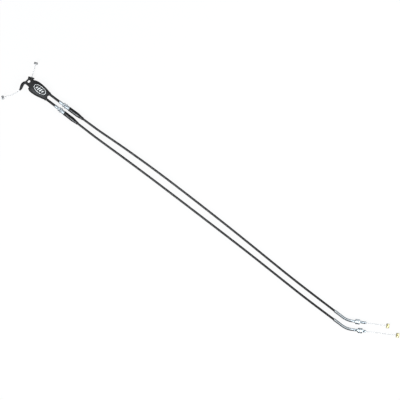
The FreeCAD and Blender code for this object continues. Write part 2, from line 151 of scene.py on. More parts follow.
class Shader:
    """A small helper that adds nodes to one material and links them."""

    def __init__(self, name):
        self.material = bpy.data.materials.new(name)
        self.material.use_nodes = True
        self.tree = self.material.node_tree
        self.tree.nodes.clear()
        self.output = self.add("ShaderNodeOutputMaterial")
        self.surface = self.add("ShaderNodeBsdfPrincipled")
        self.link(self.surface.outputs["BSDF"], self.output.inputs["Surface"])
        self.coords = self.add("ShaderNodeTexCoord").outputs["Object"]

    def add(self, kind, **values):
        node = self.tree.nodes.new(kind)
        for key, value in values.items():
            setattr(node, key, value)
        return node

    def link(self, a, b):
        self.tree.links.new(a, b)

    def put(self, socket, value):
        """Link the socket to a node's output, or set it to a plain value."""
        if isinstance(value, bpy.types.NodeSocket):
            self.link(value, socket)
        else:
            socket.default_value = value

    def noise(self, scale, detail, roughness=0.55, stretch=None):
        """Noise in the object's own metres, optionally stretched along some axes."""
        source = self.coords
        if stretch:
            mapping = self.add("ShaderNodeMapping")
            mapping.inputs["Scale"].default_value = stretch
            self.link(self.coords, mapping.inputs["Vector"])
            source = mapping.outputs["Vector"]
        node = self.add("ShaderNodeTexNoise")
        node.inputs["Scale"].default_value = scale
        node.inputs["Detail"].default_value = detail
        node.inputs["Roughness"].default_value = roughness
        self.link(source, node.inputs["Vector"])
        return node.outputs["Fac"]

    def ramp(self, value, stops):
        """Colours at given values, blended between."""
        node = self.add("ShaderNodeValToRGB")
        elements = node.color_ramp.elements
        while len(elements) < len(stops):
            elements.new(0.5)
        for element, (at, colour) in zip(elements, stops):
            element.position = at
            element.color = (*colour, 1.0)
        self.link(value, node.inputs["Fac"])
        return node.outputs["Color"]

    def range(self, value, low, high, from_low=0.3, from_high=0.7):
        """The value's span from_low to from_high, spread over low to high."""
        node = self.add("ShaderNodeMapRange")
        node.inputs["From Min"].default_value = from_low
        node.inputs["From Max"].default_value = from_high
        node.inputs["To Min"].default_value = low
        node.inputs["To Max"].default_value = high
        self.link(value, node.inputs["Value"])
        return node.outputs["Result"]

    def mix(self, factor, a, b):
        node = self.add("ShaderNodeMix", data_type="RGBA")
        self.put(node.inputs["Factor"], factor)
        self.put(node.inputs["A"], a if not isinstance(a, tuple) else (*a, 1.0))
        self.put(node.inputs["B"], b if not isinstance(b, tuple) else (*b, 1.0))
        return node.outputs["Result"]

    def edges(self, low, high):
        """1 on worn outer edges, 0 elsewhere."""
        geometry = self.add("ShaderNodeNewGeometry")
        return self.range(geometry.outputs["Pointiness"], 0.0, 1.0, low, high)

    def parting_line(self):
        """1 on the plane z = 0 where the mould's halves meet, 0 away from it."""
        split = self.add("ShaderNodeSeparateXYZ")
        self.link(self.coords, split.inputs["Vector"])
        height = self.add("ShaderNodeMath", operation="ABSOLUTE")
        self.link(split.outputs["Z"], height.inputs[0])
        return self.range(height.outputs["Value"], 1.0, 0.0, 0.0, SEAM_WIDTH)

    def bump(self, height, distance, strength, under=None):
        node = self.add("ShaderNodeBump")
        node.inputs["Strength"].default_value = strength
        node.inputs["Distance"].default_value = distance
        self.link(height, node.inputs["Height"])
        if under is not None:
            self.link(under, node.inputs["Normal"])
        return node.outputs["Normal"]

    def set(self, **values):
        """Fill the surface's inputs by name and give back the material."""
        for key, value in values.items():
            self.put(self.surface.inputs[key.replace("_", " ")], value)
        return self.material


def plastic(name, tones, rough, grain, depth, worn=None, specular=0.5, seam=False):
    """Mouldings: mottled colour, varied roughness, fine surface grain and paler worn edges."""
    s = Shader(name)
    mottle = s.noise(90, 5)
    colour = s.ramp(mottle, [(0.3, tones[0]), (0.7, tones[1])])
    if worn:
        colour = s.mix(s.edges(0.56, 0.68), colour, worn)
    sheen = s.noise(240, 6)
    fine_grain = s.noise(grain, 3)
    coarse_grain = s.noise(grain / 12, 2)
    normal = s.bump(fine_grain, depth, 0.6)
    normal = s.bump(coarse_grain, depth * 2.5, 0.4, normal)
    if seam:
        normal = s.bump(s.parting_line(), SEAM_HEIGHT, 0.8, normal)
    return s.set(
        Base_Color=colour,
        Roughness=s.range(sheen, *rough),
        Normal=normal,
        Specular_IOR_Level=specular,
    )


def metal(name, tones, rough, turning=None, worn=None, metallic=1.0):
    """Plated or cast metal: cloudy tint, fine scratches, and turning marks where asked for."""
    s = Shader(name)
    clouds = s.noise(160, 5)
    colour = s.ramp(clouds, [(0.3, tones[0]), (0.72, tones[1])])
    if worn:
        colour = s.mix(s.edges(0.51, 0.6), colour, worn)
    # long along X, which is close to every cable's own axis
    scratches = s.noise(900, 2, 0.7, (1.0, 14.0, 14.0))
    normal = s.bump(scratches, 0.00003, 0.25)
    if turning:
        # short along X, so that they run round a turned piece
        marks = s.noise(turning, 1, 0.5, (10.0, 0.4, 0.4))
        normal = s.bump(marks, 0.00004, 0.3, normal)
    return s.set(
        Base_Color=colour,
        Metallic=metallic,
        Roughness=s.range(scratches, *rough, 0.25, 0.75),
        Normal=normal,
    )


def grey(low, high, tint=(1.0, 1.0, 1.0)):
    """A dark and a light tone of one tint."""
    return tuple(low * t for t in tint), tuple(high * t for t in tint)


COOL = (0.92, 1.0, 1.05)
PAINT = (0.98, 1.0, 0.98)

# grain is in cycles a metre, depth in metres
PLASTICS = {
    "moulded_black": dict(
        tones=grey(0.006, 0.014), rough=(0.34, 0.5), grain=2600, depth=0.00004,
        worn=(0.04, 0.04, 0.04), specular=0.35, seam=True,
    ),
    "cover_rubber": dict(
        tones=grey(0.008, 0.019), rough=(0.42, 0.58), grain=3400, depth=0.00005,
        worn=(0.05, 0.05, 0.05), specular=0.35, seam=True,
    ),
    "boot_rubber": dict(
        tones=grey(0.002, 0.006), rough=(0.14, 0.2), grain=1500, depth=0.000004, specular=0.4
    ),
    "casing_vinyl": dict(
        tones=grey(0.006, 0.014), rough=(0.28, 0.4), grain=1200, depth=0.00003, specular=0.35
    ),
    "liner": dict(tones=grey(0.6, 0.78), rough=(0.35, 0.5), grain=1800, depth=0.00003),
    "badge_paint": dict(
        tones=grey(0.78, 0.9, PAINT), rough=(0.35, 0.55), grain=2600, depth=0.00004
    ),
    "badge_field": dict(
        tones=grey(0.004, 0.009), rough=(0.3, 0.42), grain=2600, depth=0.00003
    ),
}
METALS = {
    "zinc_plate": dict(
        tones=grey(0.38, 0.52, COOL), rough=(0.36, 0.5), turning=260,
        worn=(0.62, 0.67, 0.7), metallic=0.65,
    ),
    "nut_plate": dict(
        tones=grey(0.62, 0.8, COOL), rough=(0.2, 0.36), turning=260, worn=(0.8, 0.85, 0.86)
    ),
    "bright_plate": dict(
        tones=grey(0.72, 0.88, COOL), rough=(0.1, 0.24), worn=(0.86, 0.9, 0.92)
    ),
    "zinc_alloy": dict(tones=grey(0.2, 0.34), rough=(0.36, 0.55), worn=(0.48, 0.48, 0.48)),
    "brass": dict(
        tones=((0.5, 0.42, 0.16), (0.66, 0.57, 0.28)), rough=(0.24, 0.4), turning=320,
        worn=(0.8, 0.72, 0.44), metallic=0.7,
    ),
    "wire_steel": dict(tones=grey(0.68, 0.8), rough=(0.5, 0.65), metallic=0.35),
    "spring_steel": dict(tones=grey(0.3, 0.42), rough=(0.4, 0.6), turning=500),
}
MATERIALS = {name: plastic(name, **look) for name, look in PLASTICS.items()}
MATERIALS.update({name: metal(name, **look) for name, look in METALS.items()})


# ---------------------------------------------------------------- mesh helpers


def new_object(name, mesh, material, smooth_angle=35.0):
    """The mesh as an object that shades smooth up to smooth_angle."""
    obj = bpy.data.objects.new(name, mesh)
    bpy.context.collection.objects.link(obj)
    mesh.materials.clear()
    mesh.materials.append(MATERIALS[material])
    mesh.shade_smooth()
    if smooth_angle:
        mesh.set_sharp_from_angle(angle=math.radians(smooth_angle))
    return obj


def stand_in(piece, body, node):
    """The piece rides on the body and is shown in place of the CAD node."""
    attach(piece, body)
    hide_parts(node)


class Line:
    """A flat centre line through points in millimetres, read by distance along it."""

    def __init__(self, points, start=0.0):
        self.points = np.array([(p[0], p[1]) for p in points], float)
        steps = np.linalg.norm(np.diff(self.points, axis=0), axis=1)
        self.stations = np.concatenate([[start], start + np.cumsum(steps)])

    @property
    def end(self):
        return float(self.stations[-1])

    @property
    def start(self):
        return float(self.stations[0])

    def at(self, s):
        """Position and unit tangent at station s; straight on past either end."""
        i = int(np.clip(np.searchsorted(self.stations, s) - 1, 0, len(self.points) - 2))
        a, b = self.points[i], self.points[i + 1]
        tangent = (b - a) / np.linalg.norm(b - a)
        place = a + tangent * (s - self.stations[i])
        return place, tangent

    def smooth_at(self, s, width=1.5):
        """As at(), with the tangent averaged over a short stretch so rings turn evenly."""
        tangent = self.at(s + width)[0] - self.at(s - width)[0]
        return self.at(s)[0], tangent / np.linalg.norm(tangent)


def flat_vector(v):
    """A vector in the cables' plane as a 3-D one."""
    return np.array([v[0], v[1], 0.0])


def ring_angles(count):
    """Angles of the points round a ring."""
    return np.arange(count) * 2 * math.pi / count


def ring_points(line, s, radii, count):
    """Points round the line at station s; radii is one number or one per point."""
    place, t = line.smooth_at(s)
    normal = np.array([-t[1], t[0], 0.0])
    angles = ring_angles(count)
    radii = np.broadcast_to(radii, count)
    out = flat_vector(place) + normal * (np.cos(angles) * radii)[:, None]
    out[:, 2] += np.sin(angles) * radii
    return out * MM


def skin(rings, closed=False):
    """A mesh over rings of equal point count, closed into a loop or capped at both ends."""
    count = len(rings[0])
    mesh = bpy.data.meshes.new("skin")
    points = np.concatenate(rings)
    faces = []
    loops = len(rings) if closed else len(rings) - 1
    for i in range(loops):
        a, b = i * count, ((i + 1) % len(rings)) * count
        for j in range(count):
            k = (j + 1) % count
            faces.append((a + j, a + k, b + k, b + j))
    if not closed:
        faces.append(tuple(range(count - 1, -1, -1)))
        last = (len(rings) - 1) * count
        faces.append(tuple(last + j for j in range(count)))
    mesh.from_pydata([tuple(p) for p in points], [], faces)
    work = bmesh.new()
    work.from_mesh(mesh)
    bmesh.ops.recalc_face_normals(work, faces=work.faces)
    work.to_mesh(mesh)
    work.free()
    return mesh


def turned(line, profile, count, closed=True):
    """A turned piece: profile is (station, radius) corners, a closed loop unless told not."""
    return skin([ring_points(line, s, r, count) for s, r in profile], closed=closed)


def rounded(profile, radius, steps=3):
    """The loop of corners with each corner cut by a short arc."""
    out = []
    n = len(profile)
    for i in range(n):
        p = np.array(profile[i], float)
        before, after = np.array(profile[i - 1], float), np.array(profile[(i + 1) % n], float)
        a, b = before - p, after - p
        la, lb = np.linalg.norm(a), np.linalg.norm(b)
        cut = min(radius, la * 0.45, lb * 0.45)
        start, end = p + a / la * cut, p + b / lb * cut
        for j in range(steps + 1):
            t = j / steps
            out.append(tuple((1 - t) ** 2 * start + 2 * t * (1 - t) * p + t * t * end))
    return out


def stations(start, end, step):
    """Evenly spaced stations from start to end, about one step apart."""
    count = max(2, int(round((end - start) / step)) + 1)
    return np.linspace(start, end, count)


def helix_phase(s, pitch, count):
    """How far round its turn, from 0 to 1, a helix is at each point of a ring."""
    return (s / pitch - ring_angles(count) / (2 * math.pi)) % 1.0


def threaded_rings(line, start, end, crest, count, per_pitch=8):
    """Rings of a screw thread that fades in and out over one pitch at each end."""
    rings = []
    root = crest - THREAD_DEPTH
    for s in stations(start, end, THREAD_PITCH / per_pitch):
        phase = helix_phase(s, THREAD_PITCH, count)
        # a flat crest and a flat root with straight flanks between
        tooth = np.clip(1.35 - np.abs(phase - 0.5) * 4.2, 0.0, 1.0)
        fade = min(1.0, (s - start) / THREAD_PITCH, (end - s) / THREAD_PITCH)
        rings.append(ring_points(line, s, root + THREAD_DEPTH * tooth * max(0.0, fade), count))
    return rings


def hex_radius(flat, angle):
    """Radius of a hexagon in the direction angle, with a corner at angle 0 and a flat on top."""
    wedge = math.pi / 3
    return flat / math.cos(angle % wedge - wedge / 2)


def hexagon_mesh(line, start, thickness, across_flats, bore, per_side=8):
    """A chamfered hexagon nut with a countersunk bore."""
    flat = across_flats / 2
    angles = ring_angles(6 * per_side)
    ones = np.ones(6 * per_side)
    corner = np.array([hex_radius(flat, a) for a in angles])
    washer = flat * 0.94
    sink = 0.5
    edge = 0.12
    # the 30 degree chamfer cuts deepest at the corners
    drop = (corner - washer) * math.tan(math.radians(30))
    # (offset along the nut per point, radius per point)
    layers = [
        (ones * sink, ones * bore),
        (ones * 0.0, ones * (bore + sink)),
        (ones * 0.0, ones * washer),
        (drop * 0.9, corner - 0.08),
        (drop + edge, corner),
        (thickness - drop - edge, corner),
        (thickness - drop * 0.9, corner - 0.08),
        (ones * thickness, ones * washer),
        (ones * thickness, ones * (bore + sink)),
        (ones * (thickness - sink), ones * bore),
    ]
    place, t = line.smooth_at(start)
    normal = np.array([-t[1], t[0], 0.0])
    rings = []
    for offset, radius in layers:
        ring = flat_vector(place) + np.outer(offset, flat_vector(t))
        ring = ring + np.outer(np.cos(angles) * radius, normal)
        ring[:, 2] += np.sin(angles) * radius
        rings.append(ring * MM)
    return skin(rings, closed=True)


def joined(name, meshes, material, smooth_angle=35.0):
    """Several closed meshes as one object."""
    work = bmesh.new()
    for mesh in meshes:
        work.from_mesh(mesh)
    whole = bpy.data.meshes.new(name)
    work.to_mesh(whole)
    work.free()
    return new_object(name, whole, material, smooth_angle)


def remeshed(name, source, voxel, smooth_steps, material):
    """The source as one closed skin with softened edges, like a moulding."""
    obj = joined(name, [source], material, smooth_angle=0)
    remesh = obj.modifiers.new("skin", "REMESH")
    remesh.mode = "VOXEL"
    remesh.voxel_size = voxel * MM
    remesh.use_smooth_shade = True
    soften = obj.modifiers.new("soften", "SMOOTH")
    soften.factor = 0.5
    soften.iterations = smooth_steps
    graph = bpy.context.evaluated_depsgraph_get()
    final = bpy.data.meshes.new_from_object(obj.evaluated_get(graph))
    obj.modifiers.clear()
    obj.data = final
    final.shade_smooth()
    return obj


def node_mesh(node):
    """A copy of a CAD node's mesh with its doubled vertices welded."""
    mesh = frame["nodes"][node].data.copy()
    work = bmesh.new()
    work.from_mesh(mesh)
    bmesh.ops.remove_doubles(work, verts=work.verts, dist=0.000002)
    work.to_mesh(mesh)
    work.free()
    return mesh


def box_mm(node):
    """A CAD node's lowest and highest corners in millimetres."""
    low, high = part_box(node)
    return np.array(low) / MM, np.array(high) / MM


def middle_mm(node):
    """The middle of a CAD node's box in the cables' plane."""
    low, high = box_mm(node)
    return (low[:2] + high[:2]) / 2


def corners_mm(node):
    """All corners of a CAD node's mesh in millimetres."""
    return np.array([v.co for v in frame["nodes"][node].data.vertices], float) / MM


def mount_axis(name):
    """A mount's direction in the cables' plane."""
    return np.array(MOUNTS[name]["axis"][:2], float)


def mount_place(name):
    """A mount's place in the cables' plane, in millimetres."""
    return np.array(MOUNTS[name]["pos_m"][:2], float) / MM


# ---------------------------------------------------------------- centre lines from the frame


def ring_centres(node):
    """Centres, in millimetres, of the rings a casing node's mesh is made of, along X."""
    verts = corners_mm(node)
    verts = verts[np.argsort(verts[:, 0])]
    breaks = np.nonzero(np.diff(verts[:, 0]) > 0.5)[0] + 1
    centres = []
    for group in np.split(verts, breaks):
        low, high = group.min(0), group.max(0)
        if high[1] - low[1] > 2.0:
            centres.append(((low[0] + high[0]) / 2, (low[1] + high[1]) / 2))
    return centres


def smooth_curve(points, step=3.0):
    """Points every few millimetres on a Catmull-Rom curve through the given ones."""
    pts = np.array(points, float)
    padded = np.concatenate([[2 * pts[0] - pts[1]], pts, [2 * pts[-1] - pts[-2]]])
    out = []
    for i in range(1, len(padded) - 2):
        p0, p1, p2, p3 = padded[i - 1 : i + 3]
        length = np.linalg.norm(p2 - p1)
        # tangents scaled to this span, because the rings are unevenly spaced
        t1 = (p2 - p0) / np.linalg.norm(p2 - p0) * length
        t2 = (p3 - p1) / np.linalg.norm(p3 - p1) * length
        count = max(1, int(length / step))
        for j in range(count):
            t = j / count
            place = (2 * t**3 - 3 * t**2 + 1) * p1 + (t**3 - 2 * t**2 + t) * t1
            out.append(place + (3 * t**2 - 2 * t**3) * p2 + (t**3 - t**2) * t2)
    out.append(pts[-1])
    return out


def arc_points(corner, way_in, way_out, radius, step=2.0):
    """A circular bend that rounds the corner between two straight directions."""
    turn = math.atan2(
        way_in[0] * way_out[1] - way_in[1] * way_out[0], float(np.dot(way_in, way_out))
    )
    tangent = radius * math.tan(abs(turn) / 2)
    start = corner - way_in * tangent
    heading = math.atan2(way_in[1], way_in[0])
    count = max(3, int(radius * abs(turn) / step))
    side = 1 if turn > 0 else -1
    centre = start + np.array([-way_in[1], way_in[0]]) * radius * side
    points = []
    for i in range(count + 1):
        a = heading + turn * i / count - side * math.pi / 2
        points.append(centre + np.array([math.cos(a), math.sin(a)]) * radius)
    return points


class CableFrame:
    """Everything the looks need to know about one cable's place."""

    def __init__(self, name):
        turn = JOINTS[f"{name}_barrel_turn"]
        axis = np.array(turn["axis"][:2], float)
        point = np.array(turn["pos_m"][:2], float) / MM
        start = point - axis * point[0] / axis[0]
        # stations on this line are close to X
        self.axis_line = Line([start, start + axis * 200.0])

        stub = f"{name}_bracket_stub"
        leg = mount_axis(stub)
        self.leg = leg / np.linalg.norm(leg)
        past_stub = MOUNTS[stub]["dims"]["length_mm"] / 2 + 0.6
        self.tip = mount_place(stub) + self.leg * past_stub

        centres = ring_centres(f"{name}_long_jacket")
        self.casing = Line(smooth_curve(centres))
        way_in = np.array(centres[-1]) - np.array(centres[-2])
        way_in = way_in / np.linalg.norm(way_in)
        tube_start = np.array(centres[-1]) - way_in * TUBE_SOCKET_DEPTH

        # the tube's two straight lengths meet at this corner, which the bend rounds
        cross = way_in[0] * self.leg[1] - way_in[1] * self.leg[0]
        gap = self.tip - tube_start
        reach = (gap[0] * self.leg[1] - gap[1] * self.leg[0]) / cross
        bend = arc_points(tube_start + way_in * reach, way_in, self.leg, ELBOW_BEND_R)
        self.tube = Line([tube_start] + bend + [self.tip + self.leg * 0.001])
        self.bend_end = bend[-1]
        self.leg_line = Line([self.bend_end, self.tip])
        self.carb_nipple = middle_mm(f"{name}_carb_nipple")


LINES = {name: CableFrame(name) for name in CABLES}


# ---------------------------------------------------------------- rubber and mouldings


def surface_tree(obj):
    """A search tree over the object's surface, for laying paint on it."""
    work = bmesh.new()
    work.from_mesh(obj.data)
    tree = BVHTree.FromBMesh(work)
    work.free()
    return tree


def top_height(tree, x, y):
    """Height of the surface's top at (x, y), all in millimetres."""
    above = 0.05
    return tree.ray_cast(Vector((x * MM, y * MM, above)), Vector((0, 0, -1)))[0].z / MM


def relief(tree, grid, sink, rise):
    """A raised patch of paint: grid is rows of (x, y) points laid on the surface below."""
    rows, cols = len(grid), len(grid[0])
    top, bottom = [], []
    for row in grid:
        for x, y in row:
            z = top_height(tree, x, y)
            top.append((x * MM, y * MM, (z + rise) * MM))
            bottom.append((x * MM, y * MM, (z - sink) * MM))
    faces = []
    n = rows * cols
    for i in range(rows - 1):
        for j in range(cols - 1):
            a, b = i * cols + j, i * cols + j + 1
            c, d = (i + 1) * cols + j + 1, (i + 1) * cols + j
            faces.append((a, b, c, d))
            faces.append((n + a, n + d, n + c, n + b))
    edge = list(range(cols))
    edge += [i * cols + cols - 1 for i in range(1, rows)]
    edge += [(rows - 1) * cols + j for j in range(cols - 2, -1, -1)]
    edge += [i * cols for i in range(rows - 2, 0, -1)]
    for k, a in enumerate(edge):
        b = edge[(k + 1) % len(edge)]
        faces.append((a, n + a, n + b, b))
    mesh = bpy.data.meshes.new("relief")
    mesh.from_pydata(top + bottom, [], faces)
    work = bmesh.new()
    work.from_mesh(mesh)
    bmesh.ops.remove_doubles(work, verts=work.verts, dist=0.0000005)
    bmesh.ops.recalc_face_normals(work, faces=work.faces)
    work.to_mesh(mesh)
    work.free()
    return mesh


def oval_ring(tree, semi, lift, count=128):
    """Points on an oval round the badge's middle, lifted off the surface."""
    cx, cy = BADGE_CENTRE
    ring = []
    for i in range(count):
        a = 2 * math.pi * i / count
        x, y = cx + semi[0] * math.cos(a), cy + semi[1] * math.sin(a)
        ring.append((x * MM, y * MM, (top_height(tree, x, y) + lift) * MM))
    return np.array(ring)


def oval_band(tree, semi, width, sink, rise):
    """A raised oval ring laid on the surface."""
    profile = (
        (0.0, -sink),
        (0.0, rise * 0.75),
        (width * 0.25, rise),
        (width * 0.75, rise),
        (width, rise * 0.75),
        (width, -sink),
    )
    rings = [oval_ring(tree, (semi[0] - inset, semi[1] - inset), lift) for inset, lift in profile]
    return skin(rings, closed=True)


def oval_plate(tree, semi, sink, rise):
    """A thin oval patch laid on the surface."""
    shares = (0.002, 0.1, 0.2, 0.3, 0.4, 0.5, 0.6, 0.7, 0.8, 0.9, 1.0)
    top = [oval_ring(tree, (semi[0] * f, semi[1] * f), rise) for f in shares]
    under = [oval_ring(tree, (semi[0] * f, semi[1] * f), -sink) for f in reversed(shares)]
    return skin(top + under)


def slanted_bar(tree, x, half_height, sink, rise, across=10, up=8):
    """A raised bar across the badge at x from its middle, leaning with its height."""
    cx, cy = BADGE_CENTRE
    step = 2 * BAR_HALF / across
    rows = []
    for i in range(up + 1):
        v = 2 * i / up - 1
        left = cx + x - BAR_HALF + v * half_height * BAR_LEAN
        rows.append([(left + step * j, cy + v * half_height) for j in range(across + 1)])
    return relief(tree, rows, sink, rise)


def make_cover():
    """Rubber cover: one soft skin, and a plain striped oval badge in place of any lettering."""
    cover = remeshed("cover_skin", node_mesh("guide_cover"), 0.42, 6, "cover_rubber")
    stand_in(cover, "cover", "guide_cover")
    tree = surface_tree(cover)
    plate = [oval_plate(tree, BADGE_SEMI, 0.3, 0.1)]
    field = joined("cover_badge_field", plate, "badge_field")
    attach(field, "cover")
    paint = [oval_band(tree, BADGE_SEMI, BADGE_RING, 0.3, 0.4)]
    paint += [slanted_bar(tree, x, half, 0.25, 0.34) for x, half in BADGE_BARS]
    badge = joined("cover_badge", paint, "badge_paint", 40)
    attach(badge, "cover")


def make_guide():
    """Moulded guide: one skin with softened edges."""
    guide = remeshed("guide_moulding", node_mesh("cable_guide"), 0.3, 4, "moulded_black")
    stand_in(guide, "guide_assembly", "cable_guide")


def make_boot(cable):
    """Glossy tapering boot with a rolled front lip and a collar at its tail."""
    node = f"{cable}_adjuster_boot"
    low, high = box_mm(node)
    x0, x1 = low[0], high[0]
    barrel_end = box_mm(f"{cable}_adjuster_barrel")[1][0] + 0.6
    ferrule_end = box_mm(f"{cable}_swivel_ferrule")[1][0] + 1.0
    r = (high[2] - low[2]) / 2
    waist = r - 0.28
    # the lip, then a body that swells a little, then an eased taper and the tail's collar
    outer = [
        (x0, BOOT_MOUTH_R + 0.1),
        (x0 + 0.1, r - 0.1),
        (x0 + 0.9, r),
        (x0 + 1.9, r),
        (x0 + 2.4, r - 0.35),
        (x0 + 3.4, waist),
    ]
    shoulder = x0 + BOOT_STRAIGHT
    for s in stations(x0 + 5.5, shoulder, 2.5):
        outer.append((s, waist + 0.13 * (s - x0) / BOOT_STRAIGHT))
    taper = x1 - 2.6 - shoulder
    for i in range(1, 9):
        t = i / 8
        ease = t * t * (3 - 2 * t) * 0.45 + t * 0.55
        outer.append((shoulder + taper * t, r - 0.15 - (r - BOOT_TAIL_R) * ease))
    outer += [
        (x1 - 2.2, BOOT_TAIL_R + 0.05),
        (x1 - 0.8, BOOT_TAIL_R),
        (x1 - 0.1, BOOT_TAIL_R - 0.25),
        (x1, BOOT_TAIL_R - 0.7),
    ]
    inner = [
        (x1 - 0.3, BOOT_TAIL_BORE_R),
        (ferrule_end + 1.5, BOOT_TAIL_BORE_R),
        (ferrule_end, BOOT_FERRULE_BORE_R),
        (barrel_end + 1.0, BOOT_FERRULE_BORE_R),
        (barrel_end, BOOT_MOUTH_R),
        (x0 + 0.3, BOOT_MOUTH_R),
    ]
    mesh = turned(LINES[cable].axis_line, outer + inner, 40)
    boot = new_object(f"{cable}_boot", mesh, "boot_rubber", smooth_angle=50)
    stand_in(boot, node, node)


# ---------------------------------------------------------------- casings and wires


def make_short_casing(cable):
    """Short casing with the wound conduit showing through as a shallow spiral."""
    node = f"{cable}_short_jacket"
    line = Line(smooth_curve(ring_centres(node), 1.0))
    count = 24
    rings = [ring_points(line, line.start, SHORT_JACKET_BORE, count)]
    for s in stations(line.start, line.end, RIB_PITCH / 9):
        phase = helix_phase(s, RIB_PITCH, count)
        groove = np.clip(1 - np.abs(phase - 0.5) * 7.0, 0.0, 1.0)
        groove = groove * groove * (3 - 2 * groove)
        rings.append(ring_points(line, s, SHORT_JACKET_R - RIB_DEPTH * groove, count))
    rings.append(ring_points(line, line.end, SHORT_JACKET_BORE, count))
    mesh = skin(rings, closed=True)
    casing = new_object(f"{cable}_short_casing", mesh, "casing_vinyl", smooth_angle=60)
    stand_in(casing, "guide_assembly", node)


def make_long_casing(cable):
    """Smooth black tube from the adjuster to the bent end tube."""
    line = LINES[cable].casing
    rings = [ring_points(line, line.start, LONG_JACKET_BORE, 28)]
    rings += [ring_points(line, s, LONG_JACKET_R, 28) for s in stations(line.start, line.end, 2.5)]
    back = stations(line.end, line.start, -12.0)[:-1]
    rings += [ring_points(line, s, LONG_JACKET_BORE, 28) for s in back]
    mesh = skin(rings, closed=True)
    casing = new_object(f"{cable}_long_casing", mesh, "casing_vinyl", smooth_angle=40)
    stand_in(casing, f"{cable}_line", f"{cable}_long_jacket")


def strand_ring(line, s, share):
    """One ring of a wound strand; share is the strand's place round the wire, from 0 to 1."""
    place, t = line.smooth_at(s)
    normal = np.array([-t[1], t[0], 0.0])
    up = np.array([0.0, 0.0, 1.0])
    offset = WIRE_R - STRAND_R
    turn = 2 * math.pi * (s / STRAND_LAY + share)
    radial = normal * math.cos(turn) + up * math.sin(turn)
    around = -normal * math.sin(turn) + up * math.cos(turn)
    tilt = flat_vector(t) * STRAND_LAY + around * 2 * math.pi * offset
    second = np.cross(tilt / np.linalg.norm(tilt), radial)
    angles = ring_angles(STRAND_SIDES)
    ring = flat_vector(place) + radial * offset + np.outer(np.cos(angles), radial) * STRAND_R
    return (ring + np.outer(np.sin(angles), second) * STRAND_R) * MM


def strand_meshes(points):
    """Six strands wound round a core, along a line of points in millimetres."""
    line = Line(points)
    core = [
        ring_points(line, s, STRAND_R, STRAND_SIDES) for s in stations(line.start, line.end, 1.2)
    ]
    meshes = [skin(core)]
    for k in range(6):
        rings = [strand_ring(line, s, k / 6) for s in stations(line.start, line.end, 0.8)]
        meshes.append(skin(rings))
    return meshes


def bezier(p0, d0, p1, d1, pull, count=24):
    """A smooth flat curve from p0 leaving along d0 to p1 arriving along d1."""
    a, b = p0 + d0 * pull, p1 - d1 * pull
    out = []
    for i in range(count + 1):
        t = i / count
        out.append(
            (1 - t) ** 3 * p0 + 3 * t * (1 - t) ** 2 * a + 3 * t * t * (1 - t) * b + t**3 * p1
        )
    return out


def liner_mouth(cable):
    """Middle and outward direction of the guide liner's exposed end."""
    verts = corners_mm(f"{cable}_guide_liner")
    if cable == "pull":
        direction = mount_axis("collar_seat")
    else:
        direction = np.array([0.0, -1.0])
    reach = verts[:, :2] @ direction
    end = verts[reach > reach.max() - 0.9]
    middle = (end.min(0) + end.max(0))[:2] / 2
    if cable == "push":
        # the end ring is flat, so the short side of its spread in XY is the way out
        flat = end[:, :2] - middle
        spread = np.linalg.svd(flat, full_matrices=False)[2][0]
        direction = np.array([spread[1], -spread[0]])
        if direction[1] > 0:
            direction = -direction
    return middle, direction / np.linalg.norm(direction)


def make_wire(name, points, node):
    """A wound wire from one body to another, baked into world space, in place of a CAD wire."""
    wire = joined(name, strand_meshes(points), "wire_steel", smooth_angle=60)
    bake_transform(wire)
    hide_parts(node)


def make_throttle_wire(cable):
    """The exposed wire at the grip end, from the guide's mouth to its nipple."""
    way = np.array(JOINTS[f"{cable}_throttle_pull"]["axis"][:2], float)
    nipple = middle_mm(f"{cable}_throttle_nipple")
    mouth, out = liner_mouth(cable)
    inside = mouth - out * 4.0
    if cable == "pull":
        points = [inside, mouth, nipple]
    else:
        gap = np.linalg.norm(nipple - mouth)
        points = [inside] + bezier(mouth, out, nipple, way, gap * 0.34)
    make_wire(f"{cable}_grip_wire", points, f"{cable}_throttle_wire")


def make_carb_wire(cable):
    """The exposed wire at the carburettor end, from the tube's mouth to its nipple."""
    f = LINES[cable]
    points = [f.tip - f.leg * 8.0, f.carb_nipple]
    make_wire(f"{cable}_carb_end_wire", points, f"{cable}_carb_wire")


def make_nipple(cable, which, material):
    """Soldered wire end: a short barrel with domed rims and a wire groove."""
    seat = f"{cable}_{which}_nipple_seat"
    axis = mount_axis(seat)
    radius = MOUNTS[seat]["dims"]["r_mm"]
    land = MOUNTS[seat]["dims"]["length_mm"]
    # the CAD box is not centred on the barrel, so its middle comes from the seat's own place
    centre = mount_place(seat) - axis * (1.0 + land / 2)
    half = 1.0 + land + 0.35
    line = Line([centre - axis * half, centre + axis * half], start=-half)
    groove = 0.34
    # one end face, its dished middle closed to almost a point; the other mirrors it
    face = [
        (half - 0.25, 0.02),
        (half - 0.25, radius * 0.35),
        (half, radius * 0.5),
        (half, radius - 0.55),
        (half - 0.12, radius - 0.2),
        (half - 0.4, radius),
    ]
    flank = [(1.25, radius), (0.95, radius - groove * 0.8), (0.6, radius - groove)]
    side = face + flank
    profile = [(-s, r) for s, r in side] + side[::-1]
    mesh = turned(line, profile, 32, closed=False)
    piece = new_object(f"{cable}_{which}_wire_end", mesh, material, smooth_angle=40)
    stand_in(piece, f"{cable}_{which}_end", f"{cable}_{which}_nipple")


# ---------------------------------------------------------------- metal fittings


